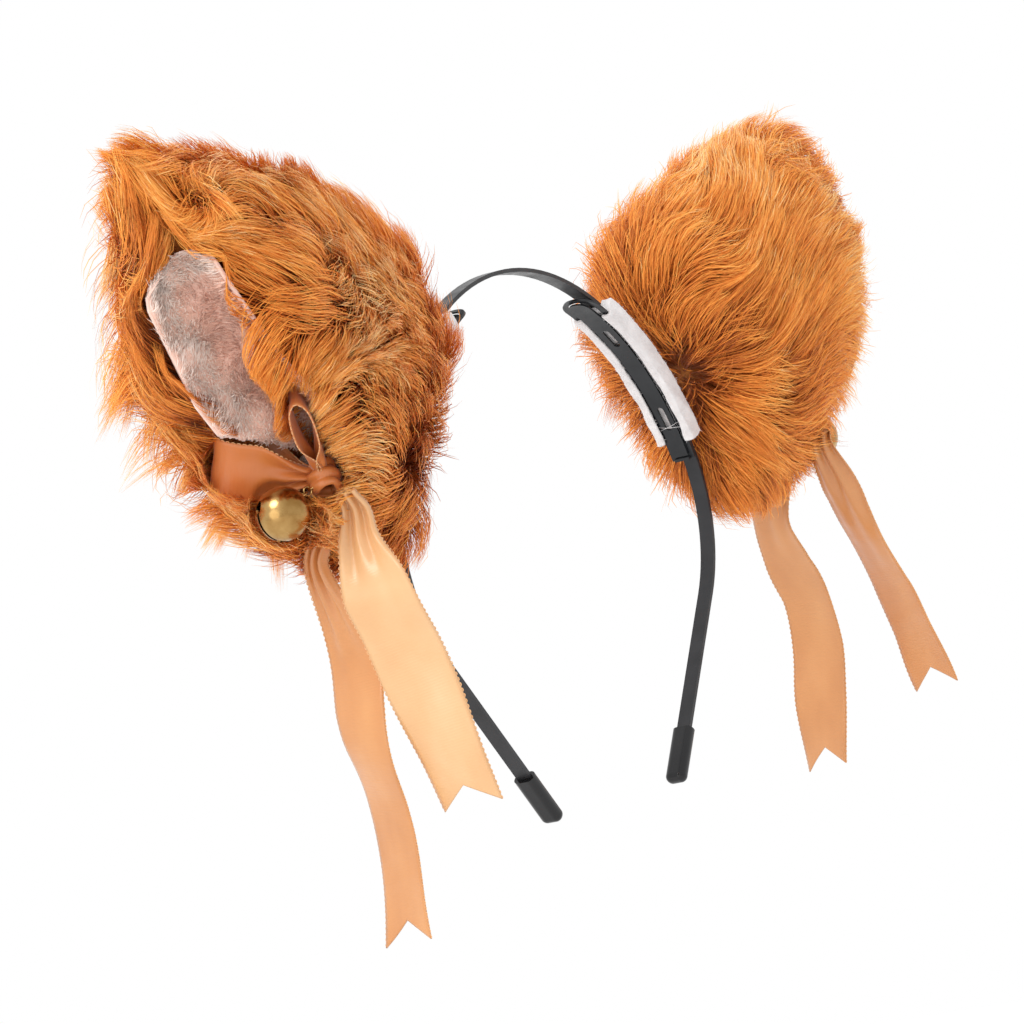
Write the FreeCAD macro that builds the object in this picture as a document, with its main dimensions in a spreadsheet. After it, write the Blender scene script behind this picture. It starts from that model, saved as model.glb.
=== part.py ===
import FreeCAD, Part
import Sketcher
import math
import os

# Animal ears headband: a thin steel band with two fur ears that clip onto it,
# each with a plush lining, a ribbon bow and a jingle bell.
# Frame: origin at the centre of the crown arc, +Z up, +X to the wearer's left
# ear, -Y forward. Millimetres.

os.makedirs("parts", exist_ok=True)
doc = FreeCAD.newDocument("animal_ears_headband")
V = FreeCAD.Vector
Y_AXIS = V(0, 1, 0)
Z_AXIS = V(0, 0, 1)

# ---------------------------------------------------------------- dimensions
DIMENSIONS = {
    # spring band
    "crown_radius": 67.0,
    "crown_angle": 72.0,
    "hip_radius": 35.5,
    "hip_angle": 56.5,
    "half_length": 168.7,
    "band_thick": 0.9,
    "band_wide": 3.4,
    # rubber tip caps
    "cap_long": 13.5,
    "cap_wide": 5.0,
    "cap_deep": 3.2,
    "cap_round": 1.5,
    "cap_floor": 1.2,
    # where the ears sit, measured round the crown from the top
    "left_ear_angle": 48.0,
    "right_ear_angle": 52.0,
    # felt sleeve that the band runs through
    "felt_wide": 9.6,
    "felt_inner": 64.2,
    "felt_floor": 65.8,
    "felt_outer": 67.4,
    "felt_start": -20.0,
    "felt_end": 17.0,
    "channel_wide": 4.2,
    "flap_inner": 62.8,
    "flap_outer": 63.5,
    "flap_gap": 5.2,
    "bed_wide": 8.7,
    # snap clip
    "clip_start": -27.6,
    "clip_end": 21.0,
    "frame_inner": 63.6,
    "frame_outer": 64.1,
    "frame_head": 8.6,
    "frame_tail": 5.8,
    "frame_rail": 1.2,
    "tongue_inner": 62.9,
    "tongue_outer": 63.4,
    "tongue_head": 4.8,
    "tongue_tail": 3.6,
    "tongue_inset": 1.2,
    "slot_wide": 1.5,
    "slot_long": 6.0,
    "crimp_start": 20.4,
    "crimp_wide": 3.8,
    "crimp_inner": 62.6,
    # ear
    "pile_depth": 11.0,
    "base_clear": 67.4,
    "core_floor": 70.4,
    "lining_thick": 1.6,
    "lining_face": 24.0,
    "lining_sink": 5.0,
    # bow, as offsets outward, along Y and up from the centre of the knot
    "knot_along": 45.9,
    "knot_side": -10.2,
    "knot_height": 95.8,
    "knot_size": 5.2,
    "knot_round": 1.4,
    "ribbon_thick": 0.5,
    "loop_long": 20.0,
    "loop_tall": 8.0,
    "loop_wide": 11.0,
    "loop_pinch": 3.6,
    "loop_start": 3.6,
    "soft_gap": 0.4,
    "room_radius": 17.5,
    "room_above": 15.0,
    # bell and the two rings it hangs from
    "bell_radius": 5.6,
    "bell_wall": 0.4,
    "bell_hole": 0.9,
    "bell_slot": 0.8,
    "bell_lip": 0.25,
    "pellet_radius": 1.6,
    "ring_radius": 0.9,
    "shank_radius": 0.8,
    "wire_radius": 0.2,
    "wire_play": 0.05,
}

# Pile surface of an ear: height above the band, then the section's centre
# and half depth along the band, and its half width across the band.
EAR_SECTIONS = [
    (-16.0, 24.0, 16.0, 11.0),
    (-8.0, 20.0, 23.0, 15.0),
    (4.0, 18.0, 33.0, 19.5),
    (20.0, 17.0, 41.5, 24.0),
    (40.0, 20.5, 40.5, 26.7),
    (60.0, 21.5, 33.0, 26.7),
    (78.0, 18.7, 21.0, 19.0),
    (94.0, 14.5, 9.5, 8.0),
]
EAR_TIP = (105.0, 14.0)

# Lined hollow of an ear: height, radius of the hollow, depth below the pile.
LINING_SECTIONS = [
    (12.0, 6.5, 13.0),
    (26.0, 10.0, 17.0),
    (42.0, 11.0, 18.0),
    (60.0, 9.5, 17.0),
    (76.0, 6.5, 13.0),
    (88.0, 2.6, 7.0),
]

# Ribbon tails: offset outward, along Y and up from the knot, and the width.
TAILS = {
    "left_front_ribbon_tail": [
        (-1.0, -3.6, -3.6, 4.0), (-3.6, -3.6, -8.0, 6.0), (-0.7, -5.0, -15.0, 9.0),
        (1.9, -8.0, -24.4, 15.0), (-1.4, -9.0, -34.8, 15.0), (-3.9, -10.0, -45.5, 15.0),
        (-6.3, -11.0, -57.3, 15.0), (-9.6, -12.0, -70.9, 15.0)],
    "left_rear_ribbon_tail": [
        (-3.0, 1.0, -3.6, 4.0), (-5.0, 5.0, -10.0, 4.0), (-4.4, 9.0, -17.0, 5.0),
        (-6.0, 8.0, -27.6, 10.0), (-7.4, 7.0, -37.5, 14.0), (-5.0, 7.0, -47.7, 15.0),
        (-4.8, 7.0, -55.9, 15.0), (-7.8, 7.0, -67.2, 15.0), (-8.3, 7.0, -79.1, 15.0),
        (-4.7, 7.0, -92.9, 15.0)],
    "right_front_ribbon_tail": [
        (-1.0, -3.6, -3.6, 4.0), (-3.6, -3.6, -8.0, 6.0), (0.4, -3.6, -16.0, 9.0),
        (7.2, -3.0, -27.5, 13.0), (13.6, -5.0, -41.8, 15.0), (14.5, -8.0, -54.0, 15.0),
        (16.5, -10.0, -68.3, 15.0)],
    "right_rear_ribbon_tail": [
        (-3.0, 1.0, -3.6, 4.0), (-5.0, 6.0, -10.0, 5.0), (-3.3, 13.0, -20.8, 11.0),
        (0.2, 13.0, -32.4, 15.0), (1.8, 11.0, -41.6, 15.0), (2.2, 11.0, -53.3, 15.0),
        (-1.4, 11.5, -65.5, 15.0), (-4.8, 12.0, -81.1, 15.0)],
}
TAIL_FACING = V(0.52, -0.854, 0)

# Where the two slots in a clip's tongue are, round the band.
SLOT_ANGLES = (-12.0, 11.0)

# Directions from the knot: the two loops, and the bell's chain.
OUTER_LOOP = V(0.50, 0.80, 0.31)
INNER_LOOP = V(0.52, -0.23, 0.82)
BELL_EYE = V(2.9, 1.2, -1.5)
BELL_CHAIN = V(0.80, 0.40, -0.45)
ROOM_CENTRE = V(4, 2, 0)

sheet = doc.addObject("Spreadsheet::Sheet", "dims")
for row, (alias, number) in enumerate(DIMENSIONS.items(), start=1):
    sheet.set("A%d" % row, alias)
    sheet.set("B%d" % row, str(number))
    sheet.setAlias("B%d" % row, alias)
doc.recompute()


def dim(alias):
    return float(sheet.get(alias))


def bind(thing, **expressions):
    for name, expression in expressions.items():
        thing.setExpression(name, expression)
    return thing


nodes = []


def node(thing, label):
    """Name a finished piece and keep it for export."""
    thing.Label = label
    nodes.append(thing)
    return thing


# ------------------------------------------------------------ small builders
def ear_frame(side):
    """Frame of one ear: +Z out of the crown, X * side down along the band."""
    name = "right_ear_angle" if side > 0 else "left_ear_angle"
    return FreeCAD.Placement(V(), FreeCAD.Rotation(Y_AXIS, side * dim(name)))


def sector_frame(side, start, wide):
    """Turn a cylinder's own frame so that it bends with the band."""
    turn = FreeCAD.Rotation(Z_AXIS, V(side, 0, 0), V(0, side, 0), "XYZ")
    spin = FreeCAD.Placement(V(0, 0, -wide / 2), FreeCAD.Rotation(Z_AXIS, start))
    return ear_frame(side).multiply(FreeCAD.Placement(V(), turn)).multiply(spin)


def bent_plate(name, side, inner, outer, wide, start, end):
    """Plate curved about the crown's centre; every size names a dimension."""
    angle = "dims.%s - dims.%s" % (end, start)
    rings = []
    for part_name, radius in (("outer", outer), ("inner", inner)):
        ring = doc.addObject("Part::Cylinder", "%s_%s" % (name, part_name))
        bind(ring, Radius="dims." + radius, Height="dims." + wide)
        ring.Placement = sector_frame(side, dim(start), dim(wide))
        rings.append(ring)
    bind(rings[0], Angle=angle)
    return cut(name, rings[0], rings[1])


def cut(name, base, tool):
    thing = doc.addObject("Part::Cut", name)
    thing.Base, thing.Tool = base, tool
    return thing


def fuse(name, pieces):
    thing = doc.addObject("Part::MultiFuse", name)
    thing.Shapes = pieces
    return thing


def common(name, pieces):
    thing = doc.addObject("Part::MultiCommon", name)
    thing.Shapes = pieces
    return thing


def clip_x(angle):
    """Distance along the ear's own X of an angle on the clip."""
    return dim("frame_inner") * math.sin(math.radians(angle))


def clip_prism(name, side, head, tail, inset, shrink):
    """Tall prism over the clip: a round head, then sides that taper."""
    low, high = "dims.crown_radius * 0.7", "dims.crown_radius"
    head_half = "(dims.%s / 2 - %s)" % (head, shrink)
    tail_half = "(dims.%s / 2 - %s)" % (tail, shrink)
    first = "dims.frame_inner * sin(dims.clip_start) + %s" % inset
    last = "dims.frame_inner * sin(dims.clip_end) - %s" % inset
    wedge = doc.addObject("Part::Wedge", name + "_taper")
    bind(wedge, Xmin="-" + head_half, Xmax=head_half, X2min="-" + tail_half, X2max=tail_half,
         Ymin="%s + %s" % (first, head_half), Ymax=last, Zmin=low, Zmax=high, Z2min=low, Z2max=high)
    turn = FreeCAD.Rotation(V(0, -side, 0), V(side, 0, 0), Z_AXIS, "XYZ")
    wedge.Placement = ear_frame(side).multiply(FreeCAD.Placement(V(), turn))
    nose = doc.addObject("Part::Cylinder", name + "_nose")
    bind(nose, Radius=head_half, Height="dims.crown_radius * 0.3")
    doc.recompute()
    centre = V(side * wedge.Ymin.Value, 0, wedge.Zmin.Value)
    nose.Placement = ear_frame(side).multiply(FreeCAD.Placement(centre, FreeCAD.Rotation()))
    return fuse(name, [wedge, nose])


def slot_prism(name, side, angle):
    """Tall round-ended prism that cuts one slot in the clip's tongue."""
    box = doc.addObject("Part::Box", name + "_box")
    bind(box, Length="dims.slot_long - dims.slot_wide", Width="dims.slot_wide",
         Height="dims.crown_radius * 0.3")
    half_run = (dim("slot_long") - dim("slot_wide")) / 2
    floor = dim("crown_radius") * 0.7
    frame = ear_frame(side)

    def place(thing, x, y):
        thing.Placement = frame.multiply(FreeCAD.Placement(V(x, y, floor), FreeCAD.Rotation()))

    place(box, side * clip_x(angle) - half_run, -dim("slot_wide") / 2)
    ends = []
    for number, shift in enumerate((-half_run, half_run)):
        end = doc.addObject("Part::Cylinder", "%s_end_%d" % (name, number))
        bind(end, Radius="dims.slot_wide / 2", Height="dims.crown_radius * 0.3")
        place(end, side * clip_x(angle) + shift, 0)
        ends.append(end)
    return fuse(name, [box] + ends)


def origin_plane(body, role):
    return next(f for f in body.Origin.OriginFeatures if f.Role == role)


def add_sketch(body, name, role, curves):
    """Closed sketch on one of the body's own origin planes."""
    sketch = body.newObject("Sketcher::SketchObject", name)
    sketch.AttachmentSupport = [(origin_plane(body, role), "")]
    sketch.MapMode = "FlatFace"
    sketch.addGeometry(curves, False)
    return sketch


def add_pad(body, sketch, length, midplane=True):
    pad = body.newObject("PartDesign::Pad", sketch.Name + "_pad")
    pad.Profile = sketch
    pad.Midplane = midplane
    bind(pad, Length=length)
    sketch.Visibility = False
    return pad


def arc(centre, radius, start, end):
    """Arc between two angles in degrees, counter-clockwise."""
    circle = Part.Circle(V(centre[0], centre[1], 0), Z_AXIS, radius)
    return Part.ArcOfCircle(circle, math.radians(start), math.radians(end))


def line(start, end):
    return Part.LineSegment(V(start[0], start[1], 0), V(end[0], end[1], 0))


# -------------------------------------------------------------- spring band
def band_end(inward):
    """Point where a leg of the band ends, this far in from its outer face."""
    crown, hip = math.radians(dim("crown_angle")), math.radians(dim("hip_angle"))
    shift = dim("crown_radius") - dim("hip_radius")
    centre = (shift * math.sin(crown), shift * math.cos(crown))
    turn = crown + hip
    radius = dim("hip_radius") - inward
    start = (centre[0] + radius * math.sin(turn), centre[1] + radius * math.cos(turn))
    straight = (dim("half_length") - dim("cap_floor") - dim("crown_radius") * crown
                - dim("hip_radius") * hip)
    end = (start[0] + straight * math.cos(turn), start[1] - straight * math.sin(turn))
    return centre, start, end


def make_band():
    body = doc.addObject("PartDesign::Body", "band")
    crown = dim("crown_angle")
    turn = crown + dim("hip_angle")
    curves, ends, rounds = [], [], []
    for inward in (0.0, dim("band_thick")):
        centre, start, end = band_end(inward)
        ends.append(end)
        rounds.append((len(curves), dim("crown_radius") - inward))
        curves.append(arc((0, 0), dim("crown_radius") - inward, 90 - crown, 90 + crown))
        for side in (1, -1):
            hip = (side * centre[0], centre[1])
            first, last = (90 - turn, 90 - crown) if side > 0 else (90 + crown, 90 + turn)
            curves.append(arc(hip, dim("hip_radius") - inward, first, last))
            curves.append(line((side * start[0], start[1]), (side * end[0], end[1])))
    for side in (1, -1):
        curves.append(line(*[(side * x, z) for x, z in ends]))
    sketch = add_sketch(body, "band_profile", "XZ_Plane", curves)
    for (index, radius), inward in zip(rounds, ("0", "dims.band_thick")):
        which = sketch.addConstraint(Sketcher.Constraint("Radius", index, radius))
        sketch.setExpression("Constraints[%d]" % which, "dims.crown_radius - " + inward)
    add_pad(body, sketch, "dims.band_wide")
    node(body, "headband_band")


def make_cap(side, label):
    """Dipped rubber cap over the end of one leg."""
    name = label + "_body"
    wide, deep, long = dim("cap_wide") / 2, dim("cap_deep") / 2, dim("cap_long")
    body = doc.addObject("PartDesign::Body", name)
    corners = [(-wide, -deep), (wide, -deep), (wide, deep), (-wide, deep)]
    outline = [line(corners[i - 1], corners[i]) for i in range(4)]
    add_pad(body, add_sketch(body, name + "_section", "XY_Plane", outline), "dims.cap_long", False)
    doc.recompute()
    block = body.Tip
    ends = ["Edge%d" % (i + 1) for i, edge in enumerate(block.Shape.Edges)
            if edge.CenterOfMass.z > 0.1]
    softened = body.newObject("PartDesign::Fillet", name + "_rounds")
    softened.Base = (block, ends)
    bind(softened, Radius="dims.cap_round")
    wide, deep = dim("band_wide") / 2, dim("band_thick") / 2
    corners = [(-wide, -deep), (wide, -deep), (wide, deep), (-wide, deep)]
    slot = add_sketch(body, name + "_slot", "XY_Plane",
                      [line(corners[i - 1], corners[i]) for i in range(4)])
    pocket = body.newObject("PartDesign::Pocket", name + "_pocket")
    pocket.Profile = slot
    pocket.Reversed = True
    bind(pocket, Length="dims.cap_long - dims.cap_floor")
    slot.Visibility = False
    turn = math.radians(dim("crown_angle") + dim("hip_angle"))
    _, _, end = band_end(dim("band_thick") / 2)
    reach = dim("cap_long") - dim("cap_floor")
    mouth = V(side * (end[0] - reach * math.cos(turn)), 0, end[1] + reach * math.sin(turn))
    down_leg = V(side * math.cos(turn), 0, -math.sin(turn))
    frame = FreeCAD.Rotation(Y_AXIS, Y_AXIS.cross(down_leg), down_leg, "ZXY")
    body.Placement = FreeCAD.Placement(mouth, frame)
    node(body, label)


# ------------------------------------------------- felt sleeve and snap clip
def make_felt(side, label):
    """Felt sleeve: a floor under the band, rails beside it, flaps on the clip."""
    name = label + "_part"
    ends = ("felt_start", "felt_end")
    whole = bent_plate(name + "_whole", side, "flap_inner", "felt_outer", "felt_wide", *ends)
    channel = bent_plate(name + "_channel", side, "felt_floor", "felt_outer", "channel_wide", *ends)
    gap = bent_plate(name + "_gap", side, "flap_inner", "flap_outer", "flap_gap", *ends)
    bed = bent_plate(name + "_bed", side, "flap_outer", "felt_inner", "bed_wide", *ends)
    node(cut(name, whole, fuse(name + "_rooms", [channel, gap, bed])), label)


def make_clip(side, prefix):
    """Snap clip: an open frame, a tongue with two slots, a folded end."""
    span = ("clip_start", "clip_end")
    outside = clip_prism(prefix + "_frame_outside", side, "frame_head", "frame_tail", 0, 0)
    inside = clip_prism(prefix + "_frame_inside", side, "frame_head", "frame_tail",
                        "dims.frame_rail", "dims.frame_rail")
    sheet_metal = bent_plate(prefix + "_frame_sheet", side, "frame_inner", "frame_outer",
                             "frame_head", *span)
    solid = common(prefix + "_frame_solid", [sheet_metal, outside])
    node(cut(prefix + "_frame", solid, inside), prefix + "_clip_frame")

    shape = clip_prism(prefix + "_tongue_shape", side, "tongue_head", "tongue_tail",
                       "dims.tongue_inset", 0)
    plate = bent_plate(prefix + "_tongue_sheet", side, "tongue_inner", "tongue_outer",
                       "tongue_head", *span)
    blank = common(prefix + "_tongue_blank", [plate, shape])
    slots = fuse(prefix + "_slots", [slot_prism("%s_slot_%d" % (prefix, n), side, angle)
                                     for n, angle in enumerate(SLOT_ANGLES)])
    node(cut(prefix + "_tongue", blank, slots), prefix + "_clip_tongue")

    node(bent_plate(prefix + "_crimp", side, "crimp_inner", "frame_inner", "crimp_wide",
                    "crimp_start", "clip_end"), prefix + "_clip_crimp")


# ---------------------------------------------------------------------- ears
def ellipse_wire(side, height, centre, half_depth, half_width, radius):
    """Ellipse across the ear at a height above the band."""
    middle = V(side * centre, 0, radius + height)
    if half_depth >= half_width:
        curve = Part.Ellipse(middle + V(half_depth, 0, 0), middle + V(0, half_width, 0), middle)
    else:
        curve = Part.Ellipse(middle + V(0, half_width, 0), middle + V(half_depth, 0, 0), middle)
    return Part.Wire(curve.toShape())


def ear_solid(side, inset):
    """Ear's pile surface, or a surface this far inside it."""
    radius = dim("crown_radius")
    wires = []
    for height, centre, half_depth, half_width in EAR_SECTIONS:
        if min(half_depth, half_width) - inset > 1.0:
            wires.append(ellipse_wire(side, height, centre, half_depth - inset,
                                      half_width - inset, radius))
    height, centre = EAR_TIP
    tip = V(side * centre, 0, radius + height - 1.6 * inset)
    return Part.makeLoft(wires + [Part.Vertex(tip)], True)


def face_distance(height):
    """Section centre at a height, and how far the pile is from it on the lined face."""
    for low, high in zip(EAR_SECTIONS, EAR_SECTIONS[1:]):
        if low[0] <= height <= high[0]:
            break
    share = (height - low[0]) / (high[0] - low[0])
    centre, depth, width = [a + share * (b - a) for a, b in zip(low[1:], high[1:])]
    angle = math.radians(dim("lining_face"))
    return centre, 1 / math.hypot(math.cos(angle) / depth, math.sin(angle) / width)


def hollow_solid(side, extra):
    """Round-bottomed hollow in the lined face, grown by the lining's thickness."""
    angle = math.radians(dim("lining_face"))
    wires = []
    for height, radius, sink in LINING_SECTIONS:
        centre, reach = face_distance(height)
        out = reach - sink + radius
        middle = V(side * (centre + out * math.cos(angle)), -out * math.sin(angle),
                   dim("crown_radius") + height)
        wires.append(Part.Wire(Part.Circle(middle, Z_AXIS, radius + extra).toShape()))
    return Part.makeLoft(wires, True)


def base_cylinder(radius):
    """Everything nearer the crown's centre than this radius."""
    return Part.makeCylinder(radius, 200, V(0, -100, 0), Y_AXIS)


def knot_place(side):
    local = V(side * dim("knot_along"), dim("knot_side"), dim("knot_height"))
    return ear_frame(side).multVec(local)


def outward(side, vector):
    """Turn an offset given outward, along Y and up into the part's frame."""
    return V(side * vector.x, vector.y, vector.z)


def loop_room(side, direction):
    """Box with room to spare round one bow loop."""
    gap = dim("soft_gap")
    long, tall, wide = dim("loop_long") + 2 * gap, dim("loop_tall") + 2 * gap, dim("loop_wide") + 2 * gap
    box = Part.makeBox(long, tall, wide, V(-gap, -tall / 2, -wide / 2))
    box.Placement = loop_frame(side, direction)
    return box


def bow_room(side):
    """Parted pile that the bow and the bell lie in, in the part's frame."""
    centre = knot_place(side) + outward(side, ROOM_CENTRE)
    top = centre.z + dim("room_above")
    room = Part.makeCylinder(dim("room_radius"), 150, V(centre.x, centre.y, top), V(0, 0, -1))
    return room.fuse([loop_room(side, OUTER_LOOP), loop_room(side, INNER_LOOP)])


def part_feature(name, label, shape, placement=None):
    thing = doc.addObject("Part::Feature", name)
    thing.Shape = shape.removeSplitter() if shape.ShapeType in ("Solid", "Compound") else shape
    if placement is not None:
        thing.Placement = placement
    return node(thing, label)


def make_ear(side, prefix):
    """Fur shell, foam core and plush lining of one ear."""
    frame = ear_frame(side)
    room = bow_room(side)
    room.Placement = frame.inverse().multiply(room.Placement)
    inner = ear_solid(side, dim("pile_depth"))
    lined_hollow = hollow_solid(side, dim("lining_thick"))
    core = inner.cut(lined_hollow).cut(base_cylinder(dim("core_floor"))).cut(room)
    shell = ear_solid(side, 0.0).cut(core).cut(lined_hollow)
    shell = shell.cut(base_cylinder(dim("base_clear"))).cut(room)
    lining = lined_hollow.cut(hollow_solid(side, 0.0)).common(ear_solid(side, dim("lining_sink")))
    lining = lining.cut(base_cylinder(dim("core_floor"))).cut(room)
    part_feature(prefix + "_shell", prefix + "_ear_fur_shell", largest(shell), frame)
    part_feature(prefix + "_core", prefix + "_ear_foam_core", largest(core), frame)
    part_feature(prefix + "_lining", prefix + "_ear_lining", largest(lining), frame)


def largest(shape):
    """The one solid that the piece is, without slivers left by a cut."""
    return max(shape.Solids, key=lambda solid: solid.Volume)


# ------------------------------------------------------------- bow and tails
def loop_frame(side, direction):
    """Frame of a bow loop: +X out of the knot, Z across the ribbon."""
    out = outward(side, direction)
    out.normalize()
    across = out.cross(outward(side, V(1, 0, -0.2)))
    across.normalize()
    place = knot_place(side) + out * dim("loop_start")
    return FreeCAD.Placement(place, FreeCAD.Rotation(out, across.cross(out), across, "ZXY"))


def teardrop(inset):
    """Closed outline of a ribbon loop, pinched at the knot."""
    radius = dim("loop_tall") / 2
    centre = dim("loop_long") - radius
    lean = math.degrees(math.asin(radius / centre))
    start = inset / math.sin(math.radians(lean))
    radius -= inset
    rise = V(math.cos(math.radians(90 + lean)), math.sin(math.radians(90 + lean)), 0) * radius
    top, bottom = (centre + rise.x, rise.y), (centre + rise.x, -rise.y)
    return [arc((centre, 0), radius, -90 - lean, 90 + lean), line(top, (start, 0)),
            line((start, 0), bottom)]


def loop_taper(name, frame):
    """Wedge that narrows a loop towards the knot."""
    wedge = doc.addObject("Part::Wedge", name)
    pinch, wide, tall = "dims.loop_pinch / 2", "dims.loop_wide / 2", "dims.loop_tall"
    bind(wedge, Xmin="-" + pinch, Xmax=pinch, X2min="-" + wide, X2max=wide, Ymin="0",
         Ymax="dims.loop_long", Zmin="-" + tall, Zmax=tall, Z2min="-" + tall, Z2max=tall)
    turn = FreeCAD.Rotation(Z_AXIS, V(1, 0, 0), Y_AXIS, "XYZ")
    wedge.Placement = frame.multiply(FreeCAD.Placement(V(), turn))
    return wedge


def make_loop(side, label, direction):
    name = label + "_body"
    body = doc.addObject("PartDesign::Body", name)
    sketch = add_sketch(body, name + "_outline", "XY_Plane",
                        teardrop(0.0) + teardrop(dim("ribbon_thick")))
    add_pad(body, sketch, "dims.loop_wide")
    frame = loop_frame(side, direction)
    body.Placement = frame
    node(common(name + "_pinched", [body, loop_taper(name + "_taper", frame)]), label)


def make_knot(side, label):
    box = doc.addObject("Part::Box", label + "_block")
    bind(box, Length="dims.knot_size", Width="dims.knot_size", Height="dims.knot_size")
    doc.recompute()
    soft = doc.addObject("Part::Fillet", label + "_rounds")
    soft.Base = box
    size = dim("knot_round")
    soft.Edges = [(i + 1, size, size) for i in range(len(box.Shape.Edges))]
    half = dim("knot_size") / 2
    soft.Placement = FreeCAD.Placement(knot_place(side) - V(half, half, half), FreeCAD.Rotation())
    node(soft, label)


def make_tail(side, label):
    """Ribbon tail: thin rectangles across the ribbon, joined by flat walls."""
    knot = knot_place(side)
    points = [knot + outward(side, V(x, y, z)) for x, y, z, _ in TAILS[label]]
    wires = []
    for i, (point, station) in enumerate(zip(points, TAILS[label])):
        run = points[min(i + 1, len(points) - 1)] - points[max(i - 1, 0)]
        across = TAIL_FACING * (station[3] / 2)
        face = run.cross(TAIL_FACING)
        face.normalize()
        face = face * (dim("ribbon_thick") / 2)
        wires.append(Part.makePolygon([point - across - face, point + across - face,
                                       point + across + face, point - across + face,
                                       point - across - face]))
    part_feature(label + "_strip", label, Part.makeLoft(wires, True, True))


# ---------------------------------------------------------------------- bell
def chain_frame(side):
    """Direction from the knot to the bell, the level axis across it, and the third."""
    down = outward(side, BELL_CHAIN)
    down.normalize()
    level = Z_AXIS.cross(down)
    level.normalize()
    return down, level, down.cross(level)


def make_ring(label, centre, normal, radius_name):
    ring = doc.addObject("Part::Torus", label + "_torus")
    bind(ring, Radius1="dims." + radius_name, Radius2="dims.wire_radius")
    ring.Placement = FreeCAD.Placement(centre, FreeCAD.Rotation(Z_AXIS, normal))
    node(ring, label)


def make_bell_half(label, place, upper):
    """Half of the bell's shell, with its sound slot if it is the lower half."""
    name = label + "_body"
    outer, inner = dim("bell_radius"), dim("bell_radius") - dim("bell_wall")
    sign = 1 if upper else -1
    first, last = (0, 90) if upper else (-90, 0)
    body = doc.addObject("PartDesign::Body", name)
    sketch = add_sketch(body, name + "_profile", "XZ_Plane", [
        arc((0, 0), outer, first, last), arc((0, 0), inner, first, last),
        line((inner, 0), (outer, 0)), line((0, sign * inner), (0, sign * outer))])
    turned = body.newObject("PartDesign::Revolution", name + "_turned")
    turned.Profile = sketch
    turned.ReferenceAxis = (sketch, ["V_Axis"])
    turned.Angle = 360
    sketch.Visibility = False
    if not upper:
        half, hole, reach = dim("bell_slot") / 2, dim("bell_hole"), outer * math.sin(math.radians(48))
        edge = reach - math.sqrt(hole ** 2 - half ** 2)
        lean = math.degrees(math.asin(half / hole))
        slot = add_sketch(body, name + "_slot", "XY_Plane", [
            line((-edge, half), (edge, half)), line((edge, -half), (-edge, -half)),
            arc((reach, 0), hole, -180 + lean, 180 - lean),
            arc((-reach, 0), hole, lean, 360 - lean)])
        pocket = body.newObject("PartDesign::Pocket", name + "_sound")
        pocket.Profile = slot
        bind(pocket, Length="dims.bell_radius")
        slot.Visibility = False
    body.Placement = place
    node(body, label)


def make_bell(side, prefix):
    down, level, third = chain_frame(side)
    wire, play = dim("wire_radius"), dim("wire_play")
    ring, shank = dim("ring_radius"), dim("shank_radius")
    eye = knot_place(side) + outward(side, BELL_EYE)
    first_pivot = eye + down * ring
    link = first_pivot + down * (ring - 2 * wire - play)
    second_pivot = link + down * ring
    loop = second_pivot + down * (shank - 2 * wire - play)
    centre = loop + down * (shank + dim("bell_radius") - wire / 2)
    make_ring(prefix + "_bow_tie_wire", eye, third, "ring_radius")
    make_ring(prefix + "_bell_jump_ring", link, level, "ring_radius")
    make_ring(prefix + "_bell_shank", loop, third, "shank_radius")
    place = FreeCAD.Placement(centre, FreeCAD.Rotation(third, V(0, 0, 0), down * -1, "ZXY"))
    make_bell_half(prefix + "_bell_upper_shell", place, True)
    make_bell_half(prefix + "_bell_lower_shell", place, False)
    pellet = doc.addObject("Part::Sphere", prefix + "_pellet")
    bind(pellet, Radius="dims.pellet_radius")
    rest = dim("bell_radius") - dim("bell_wall") - dim("pellet_radius") - dim("bell_lip")
    pellet.Placement = FreeCAD.Placement(centre + down * rest, FreeCAD.Rotation())
    node(pellet, prefix + "_bell_pellet")
    pivots = (("ring pivot", first_pivot), ("bell pivot", second_pivot), ("bell centre", centre),
              ("level axis", level), ("third axis", third))
    for name, point in pivots:
        print("%s %s: %.5f %.5f %.5f" % (prefix, name, point.x, point.y, point.z))


# --------------------------------------------------------------- build it all
make_band()
for side, prefix in ((-1, "left"), (1, "right")):
    make_cap(side, prefix + "_tip_cap")
    make_ear(side, prefix)
    make_felt(side, prefix + "_felt_sleeve")
    make_clip(side, prefix)
    make_loop(side, prefix + "_bow_outer_loop", OUTER_LOOP)
    make_loop(side, prefix + "_bow_inner_loop", INNER_LOOP)
    make_knot(side, prefix + "_bow_knot")
    make_tail(side, prefix + "_front_ribbon_tail")
    make_tail(side, prefix + "_rear_ribbon_tail")
    make_bell(side, prefix)

doc.recompute()
for thing in doc.Objects:
    if "Invalid" in thing.State or "Error" in thing.State:
        raise RuntimeError("failed: %s %s" % (thing.Name, thing.State))
for thing in nodes:
    if thing.Shape.isNull() or not thing.Shape.isValid():
        raise RuntimeError("bad shape: " + thing.Label)
for thing in nodes:
    thing.Shape.exportStep("parts/%s.step" % thing.Label)
print("%d nodes" % len(nodes))
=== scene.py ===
"""Animal ears headband: fur ears, plush lining, ribbon bows, bells and snap clips on a wire band."""
import math

import bmesh
import bpy
import numpy as np
from mathutils import Matrix, Vector


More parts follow.
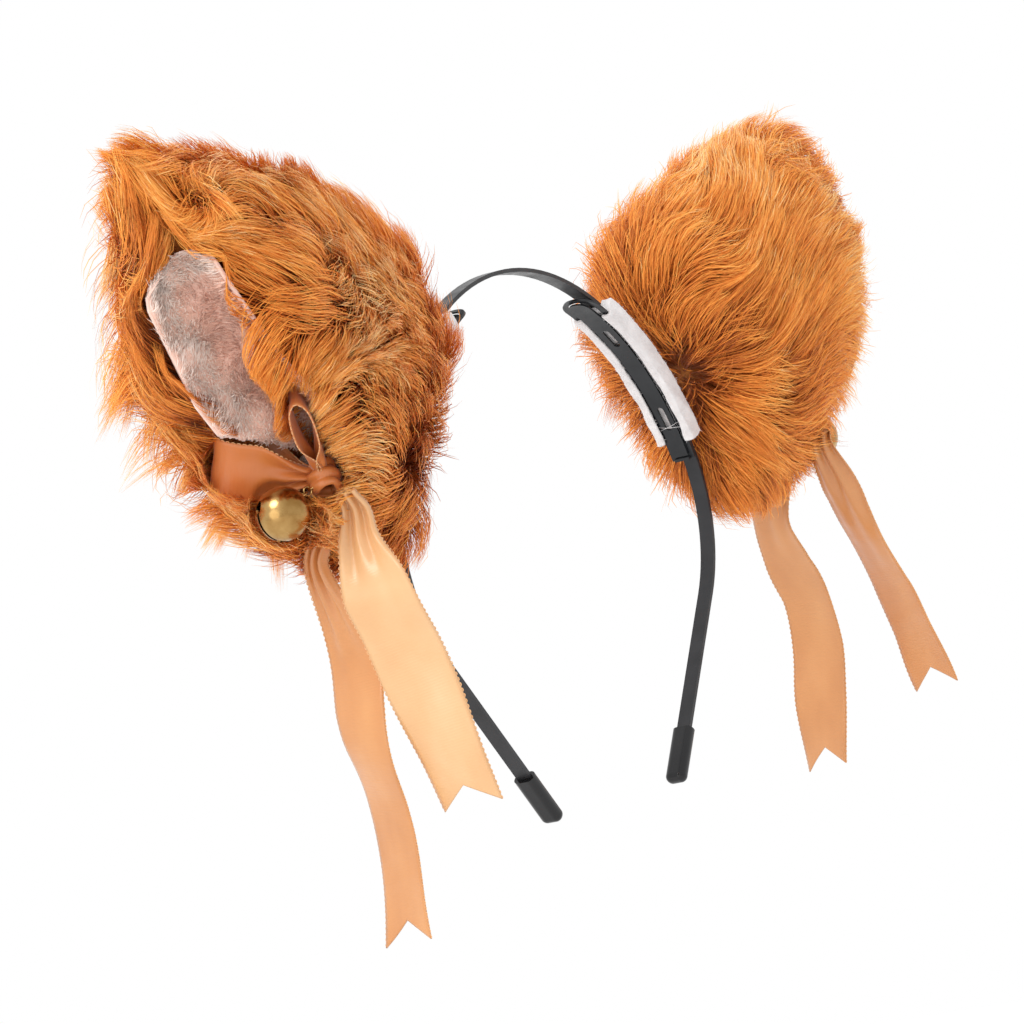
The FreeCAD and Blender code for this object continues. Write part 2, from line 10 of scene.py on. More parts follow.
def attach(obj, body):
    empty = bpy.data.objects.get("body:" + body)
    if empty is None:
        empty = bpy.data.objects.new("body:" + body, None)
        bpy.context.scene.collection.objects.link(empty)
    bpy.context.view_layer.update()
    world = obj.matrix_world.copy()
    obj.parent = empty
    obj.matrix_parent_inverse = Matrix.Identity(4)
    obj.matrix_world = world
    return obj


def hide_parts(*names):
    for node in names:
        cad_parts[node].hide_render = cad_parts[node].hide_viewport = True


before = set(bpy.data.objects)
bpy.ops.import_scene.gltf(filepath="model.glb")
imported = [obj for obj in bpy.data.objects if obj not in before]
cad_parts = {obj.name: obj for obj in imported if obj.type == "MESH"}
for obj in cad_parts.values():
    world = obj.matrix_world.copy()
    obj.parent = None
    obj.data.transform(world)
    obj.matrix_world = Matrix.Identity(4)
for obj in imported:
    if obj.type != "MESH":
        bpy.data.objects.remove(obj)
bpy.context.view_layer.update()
MM = 0.001
CROWN = 67.0  # the band's mean radius over the crown, in millimetres
SIDES = {"left": -1, "right": 1}
LEAN = {-1: math.radians(48), 1: math.radians(52)}  # each ear's angle from the top of the band


# ------------------------------------------------------------------- camera
CAMERA_ANGLES = (-58.61, -0.03, 12.24)  # azimuth, elevation and roll, in degrees
CAMERA_AIM = (-0.01192, 0.01298)  # the view's middle, right and up of the origin, in metres
CAMERA_DISTANCE = 1.2
CAMERA_LENS = 194.4


def add_camera():
    """Add the camera; returns its right, up and back directions."""
    azimuth, elevation, roll = (math.radians(x) for x in CAMERA_ANGLES)
    back = Vector((math.sin(azimuth) * math.cos(elevation),
                   -math.cos(azimuth) * math.cos(elevation), math.sin(elevation)))
    right = Vector((math.cos(azimuth), math.sin(azimuth), 0))
    up = back.cross(right)
    x = math.cos(roll) * right - math.sin(roll) * up
    y = math.sin(roll) * right + math.cos(roll) * up
    place = CAMERA_AIM[0] * x + CAMERA_AIM[1] * y + CAMERA_DISTANCE * back
    data = bpy.data.cameras.new("camera")
    data.sensor_width = 36.0
    data.lens = CAMERA_LENS
    camera = bpy.data.objects.new("camera", data)
    camera.matrix_world = Matrix((x, y, back)).transposed().to_4x4()
    camera.matrix_world.translation = place
    bpy.context.collection.objects.link(camera)
    bpy.context.scene.camera = camera
    return x, y, back


def add_light(name, offset, size, power, colour=(1, 1, 1)):
    """A soft round light that faces the origin."""
    data = bpy.data.lights.new(name, "AREA")
    data.shape = "DISK"
    data.size = size
    data.energy = power
    data.color = colour
    light = bpy.data.objects.new(name, data)
    light.location = offset
    light.rotation_euler = (-Vector(offset)).to_track_quat("-Z", "Y").to_euler()
    bpy.context.collection.objects.link(light)


cam_x, cam_y, cam_back = add_camera()
add_light("key", cam_back * 1.1 - cam_x * 0.75 + Vector((0, 0, 1.1)), 0.9, 11.0, (1, 0.985, 0.96))
add_light("fill", cam_back * 1.4 - cam_x * 0.9 + Vector((0, 0, -0.1)), 1.2, 4.0, (1, 0.99, 0.97))
add_light("rim", -cam_back * 1.2 + cam_x * 0.5 + Vector((0, 0, 1.0)), 1.0, 5.0)
world = bpy.data.worlds.new("studio")
world.use_nodes = True
world.node_tree.nodes["Background"].inputs[0].default_value = (1, 1, 1, 1)
world.node_tree.nodes["Background"].inputs[1].default_value = 1.0
bpy.context.scene.world = world
bpy.context.scene.view_settings.view_transform = "Standard"


# ---------------------------------------------------------------- materials
def shader(name, colour, rough, **sockets):
    """A Principled material and its nodes; sockets are constants on the shader itself."""
    material = bpy.data.materials.new(name)
    material.use_nodes = True
    tree = material.node_tree
    surface = tree.nodes["Principled BSDF"]
    surface.inputs["Base Color"].default_value = (*colour, 1)
    surface.inputs["Roughness"].default_value = rough
    for key, value in sockets.items():
        surface.inputs[key.replace("_", " ")].default_value = value
    return material, tree, surface


def texture(tree, scale, detail=3.0, source="Object", stretch=(1, 1, 1)):
    """Noise on object or UV coordinates; returns its value socket."""
    place = tree.nodes.new("ShaderNodeTexCoord")
    mapping = tree.nodes.new("ShaderNodeMapping")
    mapping.inputs["Scale"].default_value = stretch
    noise = tree.nodes.new("ShaderNodeTexNoise")
    noise.inputs["Scale"].default_value = scale
    noise.inputs["Detail"].default_value = detail
    tree.links.new(place.outputs[source], mapping.inputs["Vector"])
    tree.links.new(mapping.outputs["Vector"], noise.inputs["Vector"])
    return noise.outputs["Fac"]


def blend_colours(tree, value, stops, target):
    """Send a noise value through a colour ramp to a colour socket."""
    ramp = tree.nodes.new("ShaderNodeValToRGB")
    while len(ramp.color_ramp.elements) < len(stops):
        ramp.color_ramp.elements.new(0.5)
    for element, (place, colour) in zip(ramp.color_ramp.elements, stops):
        element.position = place
        element.color = (*colour, 1)
    tree.links.new(value, ramp.inputs["Fac"])
    tree.links.new(ramp.outputs["Color"], target)


def spread(tree, value, low, high, target):
    """Send a noise value, stretched to a range, to a number socket."""
    span = tree.nodes.new("ShaderNodeMapRange")
    span.inputs["From Min"].default_value = 0.3
    span.inputs["From Max"].default_value = 0.7
    span.inputs["To Min"].default_value = low
    span.inputs["To Max"].default_value = high
    tree.links.new(value, span.inputs["Value"])
    tree.links.new(span.outputs["Result"], target)


def bump(tree, value, distance, surface, strength=1.0, below=None):
    """Bump of so many metres on a shader, on top of an earlier bump if there is one."""
    node = tree.nodes.new("ShaderNodeBump")
    node.inputs["Distance"].default_value = distance
    node.inputs["Strength"].default_value = strength
    tree.links.new(value, node.inputs["Height"])
    if below:
        tree.links.new(below, node.inputs["Normal"])
    tree.links.new(node.outputs["Normal"], surface.inputs["Normal"])
    return node.outputs["Normal"]


def enamel_material(name, low, high, rough):
    """Black enamel on spring steel, with faint streaks and handling marks."""
    material, tree, surface = shader(name, high, rough, Specular_IOR_Level=0.35)
    blend_colours(tree, texture(tree, 140, 4), [(0.3, low), (0.7, high)], surface.inputs["Base Color"])
    spread(tree, texture(tree, 260, 5), rough - 0.1, rough + 0.12, surface.inputs["Roughness"])
    bump(tree, texture(tree, 1500, 2), 0.00002, surface, 0.4)
    return material


def rubber_material():
    """Glossy dipped rubber, a little uneven."""
    material, tree, surface = shader("cap_rubber", (0.008, 0.008, 0.009), 0.14, Specular_IOR_Level=0.4)
    blend_colours(tree, texture(tree, 90, 3), [(0.3, (0.005, 0.005, 0.006)), (0.7, (0.011, 0.011, 0.012))],
                  surface.inputs["Base Color"])
    spread(tree, texture(tree, 200, 4), 0.1, 0.2, surface.inputs["Roughness"])
    bump(tree, texture(tree, 320, 2), 0.00012, surface, 0.5)
    return material


def metal_material(name, low, high, rough):
    """Metal, darker in patches, and with fine scratches."""
    material, tree, surface = shader(name, high, rough, Metallic=1.0)
    blend_colours(tree, texture(tree, 160, 4), [(0.3, low), (0.7, high)], surface.inputs["Base Color"])
    spread(tree, texture(tree, 700, 5), rough - 0.06, rough + 0.08, surface.inputs["Roughness"])
    bump(tree, texture(tree, 2600, 3), 0.00003, surface, 0.35)
    return material


def satin_material(name, low, middle, high, shine):
    """Satin ribbon: fine ribs across it, and a soft shift of tone along it."""
    material, tree, surface = shader(name, middle, 0.34, Specular_IOR_Level=shine,
                                     Sheen_Weight=0.3 * shine, Sheen_Roughness=0.35, Anisotropic=0.45)
    blend_colours(tree, texture(tree, 60, 3, "UV", (1, 0.5, 1)),
                  [(0.3, low), (0.5, middle), (0.7, high)],
                  surface.inputs["Base Color"])
    spread(tree, texture(tree, 300, 3, "UV", (0.2, 1, 1)), 0.28, 0.42, surface.inputs["Roughness"])
    place = tree.nodes.new("ShaderNodeTexCoord")
    ribs = tree.nodes.new("ShaderNodeTexWave")
    ribs.wave_type = "BANDS"
    ribs.bands_direction = "Y"
    ribs.inputs["Scale"].default_value = 520
    ribs.inputs["Distortion"].default_value = 0.6
    ribs.inputs["Detail"].default_value = 1
    tree.links.new(place.outputs["UV"], ribs.inputs["Vector"])
    threads = bump(tree, ribs.outputs["Fac"], 0.00004, surface, 0.3)
    bump(tree, texture(tree, 220, 2, "UV"), 0.00025, surface, 0.35, threads)
    return material


def plain_pile(name, colours, rough, **sockets):
    """One material for each tone of a pile, root to tip."""
    return [shader(f"{name}_{i + 1}", colour, rough, **sockets)[0] for i, colour in enumerate(colours)]


def cloth_material(name, low, high, grain, depth, rough=0.9):
    """Matt cloth with a fine grain and a soft sheen."""
    material, tree, surface = shader(name, high, rough, Sheen_Weight=0.4, Sheen_Roughness=0.5,
                                     Specular_IOR_Level=0.25)
    blend_colours(tree, texture(tree, grain * 0.12, 4), [(0.3, low), (0.7, high)],
                  surface.inputs["Base Color"])
    spread(tree, texture(tree, grain * 0.5, 3), rough - 0.1, min(rough + 0.08, 1.0),
           surface.inputs["Roughness"])
    bump(tree, texture(tree, grain, 5), depth, surface, 0.8)
    return material


FUR = plain_pile("fur", [(0.32, 0.07, 0.009), (0.57, 0.15, 0.018), (0.79, 0.245, 0.032),
                         (0.90, 0.335, 0.052), (0.95, 0.44, 0.095), (0.98, 0.64, 0.27)],
                 0.55, Specular_IOR_Level=0.3, Sheen_Weight=0.1, Sheen_Roughness=0.4)
PLUSH = plain_pile("lining_pile", [(0.84, 0.53, 0.42), (0.96, 0.70, 0.585), (1.0, 0.88, 0.81)],
                   0.75, Specular_IOR_Level=0.25, Sheen_Weight=0.35, Sheen_Roughness=0.5)
FUZZ = plain_pile("felt_fuzz", [(0.74, 0.70, 0.70), (0.86, 0.83, 0.83)], 0.9, Specular_IOR_Level=0.2)
HIDE = cloth_material("fur_backing", (0.34, 0.095, 0.014), (0.56, 0.19, 0.032), 1400, 0.0006)
LINING = cloth_material("lining_plush", (0.88, 0.58, 0.47), (0.95, 0.70, 0.60), 2200, 0.0003)
FELT = cloth_material("felt", (0.68, 0.65, 0.65), (0.8, 0.77, 0.77), 2600, 0.0002)
# Three copies of one ribbon: the bow's loops and knot darker as painted shade, the left front tail lighter
# as a painted highlight, and the other tails in between.
SATIN_BOW_SHADED = satin_material("satin_bow", (0.53, 0.155, 0.036), (0.62, 0.2, 0.052),
                           (0.69, 0.255, 0.075), 0.6)
SATIN_TAIL_LIT = satin_material("satin_tail", (0.66, 0.35, 0.145), (0.74, 0.42, 0.19),
                            (0.80, 0.49, 0.25), 0.85)
SATIN_REAR = satin_material("satin_rear", (0.54, 0.21, 0.06), (0.62, 0.26, 0.08),
                            (0.68, 0.31, 0.105), 0.8)
PICOT = cloth_material("picot_thread", (0.72, 0.36, 0.14), (0.84, 0.5, 0.24), 4000, 0.00005, 0.6)
FINISH = {
    "band_enamel": enamel_material("band_enamel", (0.014, 0.014, 0.016), (0.026, 0.026, 0.029), 0.36),
    "cap_rubber": rubber_material(),
    "clip_enamel": enamel_material("clip_enamel", (0.009, 0.01, 0.012), (0.018, 0.019, 0.022), 0.34),
    # The bell's brass swings from dark to bright in broad patches: painted dark reflection of a room that
    # the bell would mirror.
    "bell_brass": metal_material("bell_brass", (0.27, 0.135, 0.035), (0.60, 0.39, 0.155), 0.2),
    "pellet_steel": metal_material("pellet_steel", (0.4, 0.4, 0.41), (0.56, 0.56, 0.57), 0.35),
}


# ------------------------------------------------------------- mesh helpers
def new_object(name, mesh, body):
    """A piece that rides on a body."""
    piece = bpy.data.objects.new(name, mesh)
    bpy.context.collection.objects.link(piece)
    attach(piece, body)
    return piece


def quad_mesh(name, points, quads, materials, index=None, uv=None):
    """Mesh of four-sided faces from numpy arrays, with points in millimetres."""
    mesh = bpy.data.meshes.new(name)
    mesh.vertices.add(len(points))
    mesh.vertices.foreach_set("co", (points * MM).astype(np.float32).ravel())
    mesh.loops.add(quads.size)
    mesh.loops.foreach_set("vertex_index", quads.astype(np.int32).ravel())
    mesh.polygons.add(len(quads))
    mesh.polygons.foreach_set("loop_start", np.arange(0, quads.size, 4, dtype=np.int32))
    for material in materials:
        mesh.materials.append(material)
    if index is not None:
        mesh.polygons.foreach_set("material_index", index.astype(np.int32))
    if uv is not None:
        layer = mesh.uv_layers.new(name="UVMap")
        layer.data.foreach_set("uv", (uv[quads.ravel()] * MM).astype(np.float32).ravel())
    mesh.update(calc_edges=True)
    mesh.validate()
    shade_smooth(mesh)
    return mesh


def shade_smooth(mesh):
    mesh.polygons.foreach_set("use_smooth", np.full(len(mesh.polygons), True))


def grid_quads(rows, columns, wrap=False):
    """Faces of a rows x columns grid of points; wrap joins the last column to the first."""
    last = columns if wrap else columns - 1
    r, c = np.meshgrid(np.arange(rows - 1), np.arange(last), indexing="ij")
    d = (c + 1) % columns
    return np.stack([r * columns + c, r * columns + d, (r + 1) * columns + d,
                     (r + 1) * columns + c], -1).reshape(-1, 4)


def unit(v):
    """Vectors scaled to length 1."""
    return v / np.maximum(np.linalg.norm(v, axis=-1, keepdims=True), 1e-9)


def waves(p, seed, scale):
    """Smooth vector noise: a few sine waves of random direction."""
    rng = np.random.default_rng(seed)
    out = np.zeros_like(p)
    for _ in range(7):
        direction = unit(rng.normal(size=3))
        turns = 2 * math.pi / (scale * rng.uniform(0.6, 1.6))
        out += np.sin(p @ direction * turns + rng.uniform(0, 6.28))[:, None] * rng.normal(size=3) * 0.5
    return out


def apply_modifiers(piece):
    graph = bpy.context.evaluated_depsgraph_get()
    mesh = bpy.data.meshes.new_from_object(piece.evaluated_get(graph))
    piece.modifiers.clear()
    piece.data = mesh


def thicken(piece, thickness, offset=0):
    """Give a sheet its thickness in metres; offset 0 puts it evenly on both sides."""
    thick = piece.modifiers.new("thickness", "SOLIDIFY")
    thick.thickness = thickness
    thick.offset = offset
    apply_modifiers(piece)


def mesh_points(mesh):
    """A mesh's points in millimetres."""
    points = np.empty(len(mesh.vertices) * 3, np.float32)
    mesh.vertices.foreach_get("co", points)
    return points.reshape(-1, 3).astype(float) / MM


# ---------------------------------------------------------------- ear shape
# Millimetres in the ear's own frame: along the band, across it, and above it.
# Each section is a height, and the pile's centre, depth and width there.
SECTIONS = np.array([(-26, 27, 4, 3), (-16, 24, 16, 11), (-8, 20, 23, 15), (4, 18, 33, 19.5),
                     (20, 17, 41.5, 24), (40, 20.5, 40.5, 26.7), (60, 21.5, 33, 26.7),
                     (78, 18.7, 21, 19), (94, 14.5, 9.5, 8), (105, 14, 2, 2), (125, 14, 1, 1)], float)
# The hollow: a height, its radius there, and how far its bottom lies below the pile's surface.
HOLLOW = np.array([(19, 1, 11), (23, 5.0, 13), (30, 8.0, 16), (42, 10.0, 17), (60, 9.5, 16),
                   (72, 8.4, 13), (78.5, 7.9, 11), (80.4, 7.0, 10), (81.2, 3, 8)], float)
TIP = 102.0
FARTHEST = 110.0
FACE = math.radians(24)  # the way the hollow faces, from along the band
TO_FACE = np.array([math.cos(FACE), -math.sin(FACE)])
ACROSS_FACE = np.array([math.sin(FACE), math.cos(FACE)])
HEIGHTS = np.arange(-30.0, 130.0, 0.5)
KERNEL = np.exp(-0.5 * (np.arange(-16, 17) / 6.0) ** 2)
KERNEL /= KERNEL.sum()


def smooth_profile(column):
    """One column of the sections at every height, smoothed."""
    values = np.interp(HEIGHTS, SECTIONS[:, 0], SECTIONS[:, column])
    return np.convolve(np.pad(values, 16, mode="edge"), KERNEL, mode="valid")


CENTRE, DEPTH, WIDTH = smooth_profile(1), smooth_profile(2), smooth_profile(3)


def ear_axes(side):
    """An ear's own directions in the object's frame: along the band, across it, and up."""
    a = LEAN[side]
    return np.array([[side * math.cos(a), 0, -math.sin(a)], [0, 1, 0],
                     [side * math.sin(a), 0, math.cos(a)]])


def to_world(side, p):
    return (p + np.array([0, 0, CROWN])) @ ear_axes(side)


def to_local(side, q):
    return q @ ear_axes(side).T - np.array([0, 0, CROWN])


def blend_max(a, b, round_by):
    """The greater of two distances, rounded where they meet."""
    return 0.5 * (a + b + np.sqrt((a - b) ** 2 + round_by ** 2))


def pile_distance(p):
    """About how far each point is outside the ear's pile, without the lined hollow."""
    centre = np.interp(p[:, 2], HEIGHTS, CENTRE)
    depth, width = (np.interp(p[:, 2], HEIGHTS, x) for x in (DEPTH, WIDTH))
    x, y = p[:, 0] - centre, p[:, 1]
    q = np.sqrt((x / depth) ** 2 + (y / width) ** 2) + 1e-6
    side = np.hypot(x, y) * (1 - 1 / q)
    side = blend_max(side, p[:, 2] - TIP, 6.0)
    base = CROWN + 0.4 - np.hypot(p[:, 0], CROWN + p[:, 2])
    return blend_max(side, base, 6.0)


def hollow_place(p):
    """Distance from the hollow's axis, its radius, and the place across and out from the axis."""
    centre = np.interp(p[:, 2], SECTIONS[:, 0], SECTIONS[:, 1])
    depth = np.interp(p[:, 2], SECTIONS[:, 0], SECTIONS[:, 2])
    width = np.interp(p[:, 2], SECTIONS[:, 0], SECTIONS[:, 3])
    reach = 1 / np.hypot(math.cos(FACE) / depth, math.sin(FACE) / width)
    radius = np.interp(p[:, 2], HOLLOW[:, 0], HOLLOW[:, 1], left=-8.0, right=-8.0)
    sink = np.interp(p[:, 2], HOLLOW[:, 0], HOLLOW[:, 2])
    rel = np.stack([p[:, 0] - centre, p[:, 1]], 1)
    across, out = rel @ ACROSS_FACE, rel @ TO_FACE - (reach - sink + radius)
    return np.hypot(across, out), radius, across, out


def skin_distance(p, inset, grown):
    """Distance from the form's skin: inset from the pile, with the hollow grown and cut away."""
    away, radius, _, _ = hollow_place(p)
    return blend_max(pile_distance(p) + inset, radius + grown - away, 2.0)


def slope(p, field):
    """Unit normal of a distance field, and its steepness."""
    step = 0.6
    g = np.stack([field(p + d) - field(p - d) for d in np.eye(3) * step], 1) / (2 * step)
    size = np.linalg.norm(g, axis=1)
    return g / np.maximum(size, 1e-6)[:, None], np.clip(size, 0.3, 1.5)


def star_surface(directions, heart, field):
    """Where rays from the heart leave the field's inside."""
    low, high = np.zeros(len(directions)), np.full(len(directions), FARTHEST)
    for _ in range(26):
        middle = (low + high) / 2
        inside = field(heart + directions * middle[:, None]) < 0
        low, high = np.where(inside, middle, low), np.where(inside, high, middle)
    return heart + directions * low[:, None]


FORM_VOXEL = 0.0045


def soften(piece, swell):
    """Let the stuffed ear swell under cloth, with each point's travel capped in millimetres."""
    scene = bpy.context.scene
    remesh = piece.modifiers.new("remesh", "REMESH")
    remesh.mode = "VOXEL"
    remesh.voxel_size = FORM_VOXEL
    apply_modifiers(piece)
    start = mesh_points(piece.data)
    cloth = piece.modifiers.new("cloth", "CLOTH")
    cloth.settings.quality = 5
    cloth.settings.mass = 0.25
    cloth.settings.tension_stiffness = 12
    cloth.settings.bending_stiffness = 0.6
    cloth.settings.use_pressure = True
    cloth.settings.uniform_pressure_force = 4.0
    cloth.settings.effector_weights.gravity = 0.0
    cloth.point_cache.frame_start = 1
    cloth.point_cache.frame_end = 20
    for step in range(1, 21):
        scene.frame_set(step)
    apply_modifiers(piece)
    scene.frame_set(1)
    moved = mesh_points(piece.data) - start
    length = np.linalg.norm(moved, axis=1, keepdims=True)
    moved *= np.minimum(1, swell(start)[:, None] / np.maximum(length, 1e-6))
    piece.data.vertices.foreach_set("co", ((start + moved) * MM).astype(np.float32).ravel())
    piece.data.update()
    divide = piece.modifiers.new("smooth", "SUBSURF")
    divide.levels = divide.render_levels = 1
    apply_modifiers(piece)


def make_form(prefix, side):
    """The stuffed ear under the pile, with the hollow pressed into its lined face."""
    ball = bmesh.new()
    bmesh.ops.create_icosphere(ball, subdivisions=6, radius=1.0)
    directions = np.array([v.co for v in ball.verts])
    points = star_surface(unit(directions), np.array([20.0, 2.0, 34.0]),
                          lambda p: skin_distance(p, 8.0, 1.4))
    points = press_under_bow(side, to_world(side, points)) * MM
    for vert, point in zip(ball.verts, points):
        vert.co = point
    mesh = bpy.data.meshes.new(prefix + "_ear_form")
    if side < 0:
        bmesh.ops.reverse_faces(ball, faces=ball.faces)
    ball.to_mesh(mesh)
    ball.free()
    piece = new_object(prefix + "_ear_form", mesh, prefix + "_ear")

    def swell(q):
        away, radius, _, _ = hollow_place(to_local(side, q))
        return np.where(away < radius + 5, 0.3, 2.0)

    soften(piece, swell)
    piece.data.materials.clear()
    piece.data.materials.append(HIDE)
    shade_smooth(piece.data)
    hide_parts(prefix + "_ear_fur_shell", prefix + "_ear_foam_core")
    return piece


def press_under_bow(side, points):
    """Move points of the form that lie over the bow or the bell back behind them."""
    open_side = open_direction(side)
    for centre, size in keep_outs(side):
        rel = points - centre
        along = rel @ open_side
        aside = np.linalg.norm(rel - along[:, None] * open_side, axis=1)
        depth = np.maximum(along + size, 0) * np.clip((size + 3 - aside) / 3, 0, 1)
        points = points - depth[:, None] * open_side
    return points


# --------------------------------------------------------------------- pile
def scatter(mesh, count, rng):
    """Random points spread evenly over a mesh, with normals, in millimetres."""
    mesh.calc_loop_triangles()
    corners = np.array([t.vertices[:] for t in mesh.loop_triangles])
    p = mesh_points(mesh)
    a, b, c = p[corners[:, 0]], p[corners[:, 1]], p[corners[:, 2]]
    normal = np.cross(b - a, c - a)
    area = np.linalg.norm(normal, axis=1)
    pick = rng.choice(len(area), count, p=area / area.sum())
    u, v = rng.random((2, count, 1))
    flip = u + v > 1
    u, v = np.where(flip, 1 - u, u), np.where(flip, 1 - v, v)
    return a[pick] + (b[pick] - a[pick]) * u + (c[pick] - a[pick]) * v, unit(normal[pick])


def strands_mesh(name, paths, faces, width, tone, zones, materials, rng):
    """Flat tapering hairs: paths (hairs, points, 3), faces their outward normals."""
    count, steps = paths.shape[:2]
    run = np.gradient(paths, axis=1)
    side = unit(np.cross(run, faces))
    other = unit(np.cross(side, run))
    roll = rng.normal(0, 0.55, (count, 1, 1))
    side = side * np.cos(roll) + other * np.sin(roll)
    taper = np.interp(np.linspace(0, 1, steps), [0, 0.35, 0.75, 1], [0.7, 1.0, 0.7, 0.12])
    half = side * (width[:, None] * taper / 2)[:, :, None]
    points = np.stack([paths - half, paths + half], 2).reshape(-1, 3)
    base = (np.arange(count) * steps * 2)[:, None] + np.arange(steps - 1) * 2
    quads = np.stack([base, base + 1, base + 3, base + 2], -1).reshape(-1, 4)
    shade = tone[:, None] + np.interp(np.linspace(0, 1, steps - 1), np.linspace(0, 1, len(zones)), zones)
    index = np.clip(np.rint(shade), 0, len(materials) - 1).ravel()
    return quad_mesh(name, points, quads, materials, index)


OUTER_LOOP, INNER_LOOP = (0.50, 0.80, 0.31), (0.52, -0.23, 0.82)


KNOT = (45.9, -10.2, 95.8 - CROWN)
# Where the bell's centre goes, from the knot, as it and its ring swing.
BELL_SWING = [(10, 4.8, -5.6), (8.8, 6.5, -5.45), (10.7, 2.8, -5.45), (10.5, 5.0, -4.3),
              (7.5, 3.55, -8.7), (9.3, 6.7, -4.2), (11.1, 3.0, -4.2), (8.3, 1.6, -8.4),
              (6.4, 5.3, -8.4)]
BOW_FROM_BELL = 6.1  # how far the bow's loops and the pile stay from those centres
PILE_FROM_BELL = 5.8


def knot_centre(side):
    return to_world(side, np.array([KNOT]))[0]


def swing_centres(side):
    return [knot_centre(side) + offset * np.array([side, 1, 1]) for offset in BELL_SWING]


def keep_outs(side):
    """Balls round the bow and the bell that the pile parts for."""
    knot = knot_centre(side)
    turn = np.array([side, 1, 1])
    balls = [(knot, 5.0), (knot + turn * (10.0, 4.8, -5.6), 7.4), (knot + turn * (5.5, 2.2, -3.2), 4.0)]
    for direction, size in ((OUTER_LOOP, 6.6), (INNER_LOOP, 3.0)):
        for along in (6.0, 10.0, 14.0, 18.0):
            balls.append((knot + turn * unit(np.array(direction)) * along, size))
    for x, y, z, r in ((-3.6, -3.6, -8, 3.5), (-1, -5, -15, 6), (1, -7, -22, 7.5), (-4.4, 9, -17, 4)):
        balls.append((knot + turn * (x, y, z), r))
    return balls


def part_pile(side, paths):
    """Push the pile clear of the band, the clip, the hollow, the bow and the bell.

    Also says which stations crossed so far into the hollow that the hair ends there.
    """
    shape = paths.shape
    p = to_local(side, paths.reshape(-1, 3))
    _, radius, across, out = hollow_place(p)
    ragged = 0.12 * waves(p, 61 + side, 9.0)[:, 0]
    near_edge = np.interp(p[:, 2], [22, 32, 46, 60, 72, 80], [-1.0, -0.55, 0.1, 0.45, 0.8, 1.3])
    low = radius * (ragged - near_edge)
    high = radius * (ragged + np.interp(p[:, 2], [60, 74], [0.96, 1.25]))
    inside = (across > low) & (across < high) & (out > -radius) & (radius > 0)
    root = np.repeat((across < 0.0).reshape(shape[:2])[:, :1], shape[1], 1).ravel()
    shift = np.where(inside, np.where(root, low, high) - across, 0)[:, None]
    p[:, :2] += shift * ACROSS_FACE
    crossed = np.abs(shift).reshape(shape[:2]) > 4.5
    crown = np.hypot(p[:, 0], CROWN + p[:, 2])
    clip = (crown < 68.6) & (p[:, 0] < 22)
    gap = np.where(clip, 4.3 - 0.8 * np.clip(p[:, 0] / 20, 0, 1), 2.2)
    near_band = (crown < 68.8) & (np.abs(p[:, 1]) < gap)
    p[:, 1] = np.where(near_band, np.where(p[:, 1] < 0, -gap, gap), p[:, 1])
    q = to_world(side, p)
    swing = [(centre, PILE_FROM_BELL) for centre in swing_centres(side)]
    for centre, size in keep_outs(side) + swing:
        rel = q - centre
        far = np.linalg.norm(rel, axis=1, keepdims=True)
        q = np.where(far < size, centre + rel / np.maximum(far, 0.05) * size, q)
    return q.reshape(shape), crossed


def open_direction(side):
    """The side that the bow is seen from, where the pile is parted."""
    return unit(np.array([-0.854, -0.521, 0.05]) if side < 0 else np.array([0.9, 0.1, -0.3]))


def over_bow(side, paths, share=0.86):
    """Which stations lie across the bow or the bell, seen from the open side."""
    open_side = open_direction(side)
    crossing = np.zeros(paths.shape[:2], bool)
    for centre, size in keep_outs(side):
        rel = paths - centre
        along = rel @ open_side
        aside = np.linalg.norm(rel - along[..., None] * open_side, axis=-1)
        crossing |= ((along > (-0.5 if side < 0 else 0.3) * size) & (aside < share * size))
    return crossing


def trim(paths, blocked):
    """Cut each hair short before its first blocked station; also says which are long enough."""
    steps = paths.shape[1] - 1
    first = np.where(blocked.any(1), blocked.argmax(1), steps + 1)
    at = np.clip(first - 0.7, 0, steps)[:, None] * np.linspace(0, 1, steps + 1)
    low = np.minimum(at.astype(int), steps - 1)
    row, part = np.arange(len(paths))[:, None], (at - low)[..., None]
    return paths[row, low] * (1 - part) + paths[row, low + 1] * part, first > 2


def flow(side, p, normal):
    """Which way the pile lies: up the ear, out from the clip, over the hollow, down the back."""
    out = unit(np.stack([p[:, 0] - 12.0, p[:, 1] * 1.3, np.zeros(len(p))], 1))
    base = np.clip((20 - p[:, 2]) / 22, 0, 1)[:, None]
    down = ear_axes(side) @ np.array([0, 0, -1.0])
    tip = np.clip((p[:, 2] - 70) / 28, 0, 1)[:, None]
    outward = 0.18 + 1.0 * base + (0.7 if side < 0 else -0.2) * tip
    lie = np.array([0, 0, 1.0]) * (1 - 0.55 * base) + out * outward
    gap, radius, across, _ = hollow_place(p)
    overhang = np.exp(-((gap - radius) / 8.0) ** 2) * (across < 0.5 * radius)
    overhang = (overhang * np.interp(p[:, 2], [18, 26, 48, 66], [0.2, 1, 1, 0]))[:, None]
    lie[:, :2] += 1.7 * overhang * ACROSS_FACE
    back = np.clip(p[:, 1:2] / 22, 0, 1)
    lie = lie * (1 - 0.45 * back) + back * (0.7 * down + np.array([0, 0.9, 0]))
    lie = lie + 0.28 * down + 0.30 * waves(p, 11 + side, 38.0) + 0.15 * waves(p, 31 + side, 14.0)
    lie -= (lie * normal).sum(1, keepdims=True) * normal
    return unit(lie)


